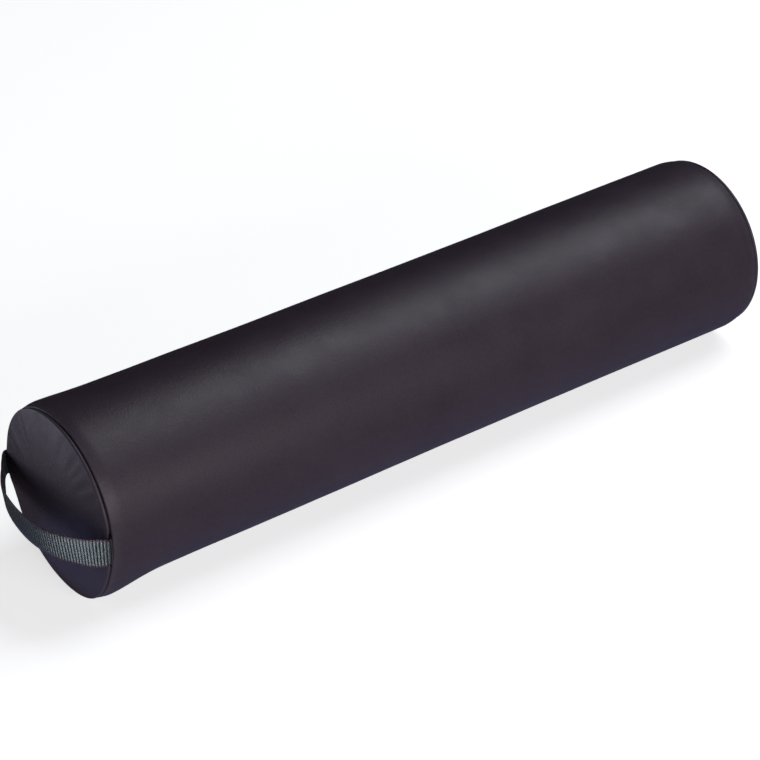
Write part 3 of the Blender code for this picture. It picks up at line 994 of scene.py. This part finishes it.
TAPE_TOP = RADIUS - VINYL - 0.0003
CHAIN_TOP = TAPE_TOP + 0.0018
COIL_PITCH = 0.0015
COIL_WIRE = 0.00030
COIL_WIDTH = 0.0023
CHAIN_GAP = 0.0003  # above the tapes, and on each side of the zip's middle


def zip_point(x, across, height):
    """A point on the zip: along the tube, down the skin from the zip's middle, and out from the axis."""
    return on_axis(x) + DOWN * across + OUT * height


def wrapped_point(x, across, radius):
    """A point at a distance down the skin, which follows the tube's curve."""
    return on_axis(x) + around(across / radius) * radius


# Places across a tape, from beside the chain to its outer edge
TAPE_COLUMNS = [0.0006, 0.0008, 0.0012, 0.0018, 0.0026, 0.0034, 0.0042]
TAPE_COLUMNS += [0.0060, 0.0085, 0.0110, 0.0135, 0.0148, 0.0151]


def make_tape(name, side, material):
    """A woven tape, thinner at its two edges, which follows the inside of the cover."""
    xs = np.linspace(-TAPE_END, TAPE_END, 150)
    verts, along, across_values = [], [], []
    for x in xs:
        for top in (1, 0):
            for across in TAPE_COLUMNS if top else reversed(TAPE_COLUMNS):
                thick = 0.0006 if 0.0007 < across < 0.0150 else 0.0003
                ripple = 0.00004 * waver(x * 90, across * 400, side * 2.0)
                radius = TAPE_TOP - 0.0003 + (thick / 2 if top else -thick / 2) + ripple
                verts.append(wrapped_point(x, side * across, radius))
                along.append(x)
                across_values.append(across)
    tape = add_mesh(name, verts, capped_faces(len(xs), 2 * len(TAPE_COLUMNS)), material)
    set_values(tape, "along", along)
    set_values(tape, "across", across_values)
    face_outwards(tape)
    return tape


def make_coil(name, side, material):
    """Half the chain: a flattened nylon coil, half a turn out of step with the other half."""
    turns = int(2 * CHAIN_END / COIL_PITCH)
    steps = turns * 8
    t = np.arange(steps + 1) / 8 + (0.5 if side > 0 else 0.0)
    t = t[t <= turns]
    reach = COIL_WIDTH / 2 - COIL_WIRE
    height = (CHAIN_TOP - TAPE_TOP - CHAIN_GAP) / 2 - COIL_WIRE
    angle = TURN * t
    x = -CHAIN_END + 0.0004 + t * (2 * CHAIN_END - 0.0008) / turns
    across = side * (CHAIN_GAP + COIL_WIDTH / 2 + reach * np.cos(angle))
    out = TAPE_TOP + CHAIN_GAP + (CHAIN_TOP - TAPE_TOP - CHAIN_GAP) / 2 + height * np.sin(angle)
    base = np.array(AXIS)
    route = base + np.outer(x, (1, 0, 0)) + np.outer(across, DOWN) + np.outer(out, OUT)
    return threads(name, [route], COIL_WIRE, material, sides=5)


STITCH = 0.0031
STITCH_GAP = 0.0006
THREAD = 0.00024
STITCH_LINE = 0.0080  # from the zip's middle to its topstitching


def stitch(start, end, out, sink=0.00035, lift=0.00016):
    """One stitch: it comes up out of the vinyl, lies along it and goes down again."""
    shares = ((0.0, -sink), (0.10, 0.0), (0.3, lift), (0.7, lift), (0.90, 0.0), (1.0, -sink))
    return [start.lerp(end, share) + out * rise for share, rise in shares]


def make_zip_stitches(name, side, material):
    """A line of topstitching beside the zip."""
    end = TAPE_END - 0.002
    count = int(2 * end / (STITCH + STITCH_GAP))
    routes = []
    for i in range(count):
        x = -end + i * (STITCH + STITCH_GAP)
        wander = side * rng.uniform(-0.00008, 0.00008)
        start = wrapped_point(x, side * STITCH_LINE + wander, RADIUS)
        finish = wrapped_point(x + STITCH, side * STITCH_LINE - wander, RADIUS)
        routes.append(stitch(start, finish, around(side * STITCH_LINE / RADIUS)))
    return threads(name, routes, THREAD, material)


def make_bar_tack(name, side, material):
    """Close zigzag stitches across one end of the opening."""
    low, high = (TACK_LOW.x, TACK_HIGH.x) if side > 0 else (-TACK_HIGH.x, -TACK_LOW.x)
    routes = []
    passes = 9
    for i in range(passes):
        x = low + (high - low) * (i + 0.5) / passes
        slant = 0.0001 * (-1) ** i
        start, end = 0.0060 + rng.uniform(-0.0003, 0.0003), 0.0060 + rng.uniform(-0.0003, 0.0003)
        route = []
        for share in np.linspace(0, 1, 9):
            across = -start + (start + end) * share
            rise = 0.00022 if 0.05 < share < 0.95 else -0.00035
            route.append(wrapped_point(x + slant * (2 * share - 1), across, RADIUS + rise))
        routes.append(route)
    return threads(name, routes, 0.00016, material)


def make_seam_stitches(name, side, material):
    """The ring of stitches that joins an end panel to the tube, inside the seam."""
    radius = (RING_HIGH.z - RING_LOW.z) / 2 - THREAD
    x = side * (RING_LOW.x + RING_HIGH.x) / 2
    count = int(TURN * radius / (STITCH + STITCH_GAP))
    routes = []
    for i in range(count):
        first = TURN * i / count
        second = first + STITCH / radius
        route = []
        for share, rise in ((0, 0.0002), (0.15, 0), (0.5, 0), (0.85, 0), (1, 0.0002)):
            direction = around(first + (second - first) * share)
            here = radius + flare(direction.y, AXIS_Z + direction.z) * flare_reach(x)
            route.append(Vector((x + side * rise, 0, AXIS_Z)) + direction * here)
        routes.append(route)
    return threads(name, routes, THREAD, material)


DRAWN_LARGER = 100  # curve filling loses details of a fraction of a millimetre


def draw_outlines(name, outlines, thickness):
    """A filled flat curve from an outline and its holes."""
    curve = bpy.data.curves.new(name, "CURVE")
    curve.dimensions = "2D"
    curve.fill_mode = "BOTH"
    curve.extrude = thickness / 2 * DRAWN_LARGER
    for outline in outlines:
        spline = curve.splines.new("POLY")
        spline.points.add(len(outline) - 1)
        for point, (x, y) in zip(spline.points, outline):
            point.co = (x * DRAWN_LARGER, y * DRAWN_LARGER, 0, 1)
        spline.use_cyclic_u = True
    return curve


def plate(name, outlines, thickness, place, material, edge):
    """A flat metal piece from an outline and its holes, with rounded edges. place lays its points."""
    drawn = bpy.data.objects.new(name + "_drawn", draw_outlines(name, outlines, thickness))
    link(drawn)
    graph = bpy.context.evaluated_depsgraph_get()
    graph.update()
    mesh = bpy.data.meshes.new_from_object(drawn.evaluated_get(graph))
    bpy.data.objects.remove(drawn)
    obj = bpy.data.objects.new(name, mesh)
    link(obj)
    mesh.materials.clear()
    mesh.materials.append(material)
    bm = bmesh.new()
    bm.from_mesh(mesh)
    for vert in bm.verts:
        vert.co /= DRAWN_LARGER
    bmesh.ops.remove_doubles(bm, verts=bm.verts, dist=1e-6)
    bmesh.ops.dissolve_limit(bm, angle_limit=0.01, verts=bm.verts, edges=bm.edges)
    for vert in bm.verts:
        vert.co = place(*vert.co)
    bmesh.ops.recalc_face_normals(bm, faces=bm.faces)
    bm.to_mesh(mesh)
    bm.free()
    bevel(obj, edge, 2)
    return obj


def arc(centre, radius, start, end, steps):
    """Points along an arc, with its angles in degrees."""
    return [
        (centre[0] + radius * math.cos(math.radians(a)), centre[1] + radius * math.sin(math.radians(a)))
        for a in np.linspace(start, end, steps)
    ]


def join(target, *others):
    """Joins other pieces into the first, as one piece of several bodies."""
    bm = bmesh.new()
    bm.from_mesh(target.data)
    for other in others:
        bm.from_mesh(other.data)
        bpy.data.objects.remove(other)
    bm.to_mesh(target.data)
    bm.free()
    return target


SLIDER_HALF_WIDTH = 0.0040
SHOULDER_ROUND = 0.0020  # the slider's rounded shoulders, where the chain opens


def slider_outline(half_length):
    """Wide at the shoulders, and narrower at the tail, where the chain leaves it closed."""
    outline = (
        arc((half_length - SHOULDER_ROUND, SLIDER_HALF_WIDTH - SHOULDER_ROUND), SHOULDER_ROUND, 0, 90, 7)
        + [(0.0, SLIDER_HALF_WIDTH * 0.93)]
        + arc((-half_length + 0.0012, SLIDER_HALF_WIDTH * 0.86 - 0.0012), 0.0012, 90, 180, 5)
    )
    return outline + [(x, -y) for x, y in reversed(outline)]


def slider_rim(half_length):
    """One of the two walls that hold the slider's halves together."""
    shoulder = half_length - SHOULDER_ROUND
    return [
        (-half_length + 0.0005, 0.00300),
        (-half_length + 0.0008, 0.00345),
        (0.0, 0.00370),
        (shoulder, 0.00395),
        (shoulder, 0.0032),
        (0.0, 0.00305),
    ]


def slider_arch(roof):
    """The bridge that the pull hangs in: an arch along the slider, seen from its side."""
    return (
        [(-0.0040, -0.0003)]
        + arc((-0.0022, roof - 0.0018), 0.0018, 180, 90, 6)
        + arc((0.0022, roof - 0.0018), 0.0018, 90, 0, 6)
        + [(0.0040, -0.0003), (0.0030, -0.0003)]
        + arc((0.0020, roof - 0.0020), 0.0010, 0, 90, 5)
        + arc((-0.0020, roof - 0.0020), 0.0010, 90, 180, 5)
        + [(-0.0030, -0.0003)]
    )


def make_slider(material):
    """The slider: a shield-shaped body above and below the chain, side rims, and a bridge for the pull."""
    middle = (SLIDER_LOW.x + SLIDER_HIGH.x) / 2
    half_length = (SLIDER_HIGH.x - SLIDER_LOW.x) / 2
    outline = slider_outline(half_length)
    top = CHAIN_TOP + 0.0003

    def at(height):
        return lambda x, y, z: zip_point(middle + x, y, height + z)

    upper = plate("zip_slider_body", [outline], 0.0010, at(top + 0.0005), material, 0.0003)
    lower = plate("lower", [outline], 0.0009, at(TAPE_TOP - 0.00145), material, 0.0002)
    rim_top, rim_base = top + 0.0002, TAPE_TOP + 0.0006
    rims = []
    for side in (-1, 1):
        rim = [(x, side * y) for x, y in slider_rim(half_length)]
        rims.append(plate("rim", [rim], rim_top - rim_base, at((rim_top + rim_base) / 2), material, 0.0001))

    def stand(x, y, z):
        """Lays the bridge's outline upright along the slider."""
        return zip_point(middle + x, z, top + 0.0010 + y)

    bridge = plate("bridge", [slider_arch(SLIDER_TOP_OUT - (top + 0.0010))], 0.0016, stand, material, 0.00025)
    return join(upper, lower, *rims, bridge)


SLIDER_TOP_OUT = RADIUS + 0.0040  # the bridge's roof, from the axis
PULL_HINGE = Vector(JOINTS["pull_flip"]["pos_m"])
PULL_LENGTH = 0.0260


def make_pull(material):
    """The flat pull: a bar under the bridge, two arms, a waist, and a rounded grip with a slot in it."""
    out = (PULL_HINGE - AXIS).dot(OUT)
    outline = (
        [(0.0004, 0.0022)]
        + arc((-0.0012, 0.0018), 0.0014, 90, 120, 3)
        + [(-0.0052, 0.0027), (-0.0075, 0.0020)]
        + [(-0.0110, 0.0024), (-0.0150, 0.0030)]
        + arc((-PULL_LENGTH + 0.0032, 0.0), 0.0032, 90, 180, 9)
    )
    outline += [(x, -y) for x, y in reversed(outline[:-1])]
    window = (
        [(-0.0004, 0.0013)]
        + arc((-0.0046, 0.0006), 0.0008, 90, 180, 4)
        + arc((-0.0046, -0.0006), 0.0008, 180, 270, 4)
        + [(-0.0004, -0.0013)]
    )
    slot = arc((-0.0165, 0), 0.0011, -90, 90, 7) + arc((-0.0225, 0), 0.0011, 90, 270, 7)

    def lay(x, y, z):
        return zip_point(PULL_HINGE.x + x, y, out + z)

    pull = plate("zip_pull_tab", [outline, window, slot], 0.0010, lay, material, 0.0002)
    bar = [[zip_point(PULL_HINGE.x - 0.00005, y, out) for y in np.linspace(-0.0022, 0.0022, 7)]]
    verts, faces, _ = sweep(bar, 0.0005, 10)
    return join(pull, add_mesh("bar", verts, faces, material))


# ---------- camera, light and floor ----------

# The photograph's view, measured on the tube's outline
VIEW_BACK = Vector((-0.5136, -0.6735, 0.5316))
VIEW_DISTANCE = 2.392
LENS = 137.4
SHIFT = (-0.02796, -0.0230)


def make_camera():
    data = bpy.data.cameras.new("camera")
    data.lens = LENS
    data.sensor_width = 36
    data.shift_x, data.shift_y = SHIFT
    camera = bpy.data.objects.new("camera", data)
    link(camera)
    camera.location = AXIS + VIEW_BACK.normalized() * VIEW_DISTANCE
    camera.rotation_euler = (-VIEW_BACK).to_track_quat("-Z", "Y").to_euler()
    bpy.context.scene.camera = camera


def add_softbox(name, direction, distance, size, power, colour):
    data = bpy.data.lights.new(name, "AREA")
    data.shape = "RECTANGLE"
    data.size, data.size_y = size
    data.energy = power
    data.color = colour
    light = bpy.data.objects.new(name, data)
    link(light)
    direction = Vector(direction).normalized()
    light.location = AXIS + direction * distance
    light.rotation_euler = direction.to_track_quat("Z", "Y").to_euler()
    light.visible_camera = False
    return light


def floor_finish():
    """A matt white table top that glows softly, as a sweep lit from below does."""
    f = Finish("pale_floor", 0.8, specular=0.2)
    f.colour(f.mix(f.noise(3.0, 2.0), (0.84, 0.84, 0.84), (0.88, 0.88, 0.88)))
    f.rough(f.patches(20.0, 3.0, 0.3, 0.7, 0.75, 0.85))
    f.shader.inputs["Emission Color"].default_value = (1.0, 1.0, 1.0, 1.0)
    f.shader.inputs["Emission Strength"].default_value = FLOOR_GLOW
    return f.material


def make_floor():
    reach = 6.0
    corners = [(-reach, -reach, 0), (reach, -reach, 0), (reach, reach, 0), (-reach, reach, 0)]
    floor = add_mesh("floor", corners, [(0, 1, 2, 3)], floor_finish(), smooth=False)
    floor.visible_glossy = False
    return floor


def add_card(name, low, high, height, tone, glow, colour=(1.0, 1.0, 1.0), blocks=False):
    """A card the camera doesn't see: a pale one glows in the gloss, and a black one blocks floor light."""
    f = Finish(name, 0.9, specular=0.1)
    f.shader.inputs["Emission Color"].default_value = (*colour, 1.0)
    f.shader.inputs["Emission Strength"].default_value = glow
    paler = tone * 1.05
    f.colour(f.mix(f.noise(3.0), (tone, tone, tone), (paler, paler, paler)))
    (x0, y0), (x1, y1) = low, high
    corners = [(x0, y0, height), (x1, y0, height), (x1, y1, height), (x0, y1, height)]
    card = add_mesh(name, corners, [(0, 1, 2, 3)], f.material, smooth=False)
    card.visible_camera = False
    card.visible_diffuse = blocks
    card.visible_glossy = not blocks
    card.visible_shadow = False
    return card


FLOOR_GLOW = 0.66
WORLD_GLOW = 0.012
# Each soft box: direction from the bolster, distance, (width, height), watts, colour
SOFTBOXES = {
    "top_strip": ((0.51, -0.06, 0.855), 2.4, (1.5, 1.9), 28, (0.90, 0.95, 1.0)),
    "front_box": ((-0.12, -0.95, 0.30), 2.6, (1.7, 0.8), 29, (1.0, 0.95, 0.98)),
    "left_box": ((-0.72, 0.69, 0.10), 1.8, (0.9, 0.5), 5, (0.80, 0.88, 1.0)),
}


def make_studio():
    make_floor()
    end = -SEAM_X
    add_card("front_card", (end, -0.17), (0.6, -0.02), 0.001, 0.02, 0.16, (0.28, 0.49, 1.0))
    add_card("left_card", (end - 1.2, 0.12), (end - 0.14, 1.3), 0.003, 0.8, 1.2, (0.80, 0.76, 1.0))
    add_card("low_card", (end - 0.10, -0.10), (end - 0.008, 0.07), 0.0015, 0.3, 0.26, (0.25, 0.36, 1.0))
    add_card("flag", (end - 0.90, -0.10), (end - 0.07, 0.80), 0.002, 0.02, 0.0, blocks=True)
    for name, (direction, distance, size, power, colour) in SOFTBOXES.items():
        add_softbox(name, direction, distance, size, power, colour)
    world = bpy.data.worlds.new("studio")
    bpy.context.scene.world = world
    world.use_nodes = True
    background = world.node_tree.nodes["Background"]
    background.inputs["Color"].default_value = (0.95, 0.97, 1.0, 1.0)
    background.inputs["Strength"].default_value = WORLD_GLOW
    bpy.context.scene.view_settings.view_transform = "Standard"


# ---------- putting it together ----------


def fixed(obj, slot, *nodes):
    """A piece that goes with the cover and stands for these CAD nodes."""
    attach(obj, "cover")
    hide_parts(*nodes)
    return obj


def make_filling():
    foam = foam_finish("firm_foam", (0.66, 0.62, 0.50), (0.42, 0.38, 0.28), 900.0)
    core = fixed(make_core(foam), "foam", "foam_core")
    wrap = fixed(make_wrap(fibre_finish()), "wadding", "foam_wrap")


def make_cover(thread):
    vinyl = vinyl_finish()
    tube = fixed(make_tube(vinyl), "vinyl", "cover_tube")
    for name, side in (("handle", -1), ("plain", 1)):
        panel = fixed(make_end(f"end_panel_{name}", side, vinyl), "vinyl", f"cover_end_{name}")
        fixed(make_seam_stitches(f"seam_stitches_{name}", side, thread), "thread", f"seam_thread_{name}")


def light_strap(strap):
    """A bright card that only the strap's ribs reflect."""
    end = -SEAM_X
    low, high = (end - 0.26, -0.30), (end - 0.060, -0.05)
    card = add_card("strap_card", low, high, 0.001, 0.8, 11.0, (0.80, 0.92, 1.0))
    lit = bpy.data.collections.new("lit_by_strap_card")
    lit.objects.link(strap)
    card.light_linking.receiver_collection = lit


def make_handle():
    strap = make_strap(webbing_finish())
    light_strap(strap)
    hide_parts("handle_strap", "strap_tail_front", "strap_tail_back")
    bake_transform(strap)


def make_zip(thread):
    tape, nylon, metal = tape_finish(), nylon_finish(), metal_finish()
    for name, side in (("upper", -1), ("lower", 1)):
        fixed(make_tape(f"tape_{name}", side, tape), "zip_tape", f"zip_tape_{name}")
        fixed(make_coil(f"coil_{name}", side, nylon), "zip_coil", f"zip_coil_{name}")
        fixed(make_zip_stitches(f"zip_stitches_{name}", side, thread), "thread", f"zip_thread_{name}")
        give_material(f"zip_stop_{name}", metal)
    give_material("zip_bottom_stop", metal)
    for name, side in (("handle", -1), ("plain", 1)):
        fixed(make_bar_tack(f"zigzag_{name}", side, thread), "thread", f"bar_tack_{name}")
    slider = make_slider(metal)
    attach(slider, "slider")
    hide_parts("zip_slider")
    pull = make_pull(metal)
    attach(pull, "pull")
    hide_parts("zip_pull")


def give_material(node, material):
    """A CAD node that stays, with a finer material."""
    obj = frame["nodes"][node]
    for slot in obj.material_slots:
        slot.material = material


def main():
    make_camera()
    make_studio()
    thread = thread_finish()
    make_filling()
    make_cover(thread)
    make_handle()
    make_zip(thread)


main()
